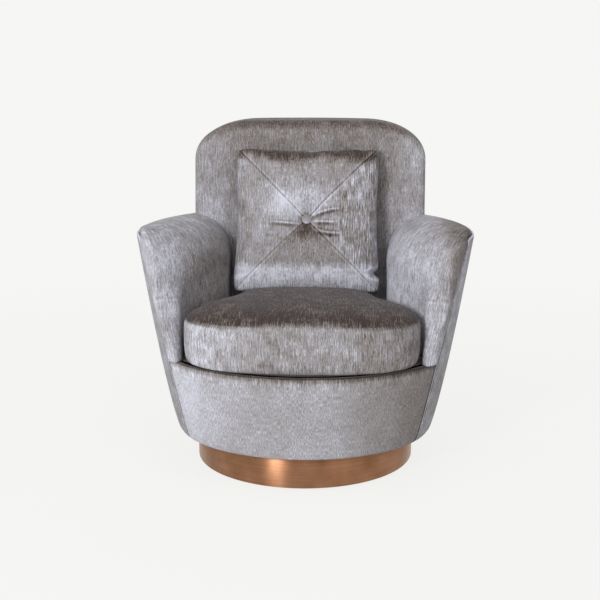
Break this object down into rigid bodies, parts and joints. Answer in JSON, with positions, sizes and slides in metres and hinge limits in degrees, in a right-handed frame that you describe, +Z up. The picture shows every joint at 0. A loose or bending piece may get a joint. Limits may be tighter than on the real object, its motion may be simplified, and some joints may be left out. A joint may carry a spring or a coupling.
{
  "type": "swivel tub armchair",
  "caption": "Upholstered swivel tub armchair with flared barrel sides, a raised back, a loose seat cushion, a buttoned scatter cushion and a round copper-clad plinth.",
  "frame": {"origin": "middle of the chair's footprint box, on the floor under the glides", "axes": "+X to the right as seen from in front, +Y from the front to the back, +Z up"},
  "size_m": [0.8638, 0.721, 0.862],
  "materials": {
    "velvet": "matte",
    "copper": "satin",
    "steel": "satin",
    "plywood": "matte",
    "timber": "matte",
    "foam": "matte",
    "black_cloth": "matte",
    "nylon": "matte"
  },
  "bodies": {
    "base": {"plinth_band": "copper", "plinth_ring": "timber", "plinth_top_board": "plywood", "swivel_lower_plate": "steel", "pivot_rivet": "steel", "glide_1": "nylon", "glide_2": "nylon", "glide_3": "nylon", "glide_4": "nylon", "lower_bolt_1": "steel", "lower_bolt_2": "steel", "lower_bolt_3": "steel", "lower_bolt_4": "steel"},
    "ball_cage": {"ball_cage": "steel"},
    "seat": {"apron_cover": "velvet", "outside_arm_cover_left": "velvet", "outside_arm_cover_right": "velvet", "outside_back_cover": "velvet", "inside_arm_cover_left": "velvet", "inside_arm_cover_right": "velvet", "inside_back_cover": "velvet", "arm_welt_left": "velvet", "arm_welt_right": "velvet", "seat_deck": "velvet", "swivel_upper_plate": "steel", "upper_bolt_1": "steel", "upper_bolt_2": "steel", "upper_bolt_3": "steel", "upper_bolt_4": "steel", "seat_spring_1": "steel", "seat_spring_2": "steel", "seat_spring_3": "steel", "seat_spring_4": "steel", "base_board": "plywood", "arm_board_left": "plywood", "arm_board_right": "plywood", "back_board": "plywood", "apron_board": "plywood", "arm_post_left": "plywood", "arm_post_right": "plywood", "seat_frame": "timber", "back_post_left": "timber", "back_post_right": "timber", "arm_rail_left": "timber", "arm_rail_right": "timber", "back_rail": "timber", "arm_padding_left": "foam", "arm_padding_right": "foam", "back_padding": "foam", "apron_padding": "foam", "dust_cloth": "black_cloth"},
    "seat_cushion": {"seat_cushion_cover": "velvet", "seat_cushion_pad": "foam", "seat_cushion_zip": "nylon"},
    "scatter_cushion": {"scatter_cover": "velvet", "scatter_pad": "foam", "button_front": "velvet", "button_back": "velvet", "tuft_twine": "nylon"}
  },
  "joints": [
    {"name": "swivel", "type": "hinge", "parent": "base", "child": "seat", "pos_m": [0, -0.0395, 0.082], "axis": [0, 0, 1], "continuous": true},
    {"name": "cage_turn", "type": "hinge", "parent": "base", "child": "ball_cage", "pos_m": [0, -0.0395, 0.082], "axis": [0, 0, 1], "continuous": true},
    {"name": "seat_cushion_lift", "type": "slide", "parent": "seat", "child": "seat_cushion", "axis": [0, 0, 1], "range_m": [0, 0.3]},
    {"name": "scatter_cushion_lift", "type": "slide", "parent": "seat_cushion", "child": "scatter_cushion", "axis": [0, 0, 1], "range_m": [0, 0.35]}
  ],
  "couplings": [
    {"joint": "cage_turn", "follows": "swivel", "ratio": 0.5}
  ]
}
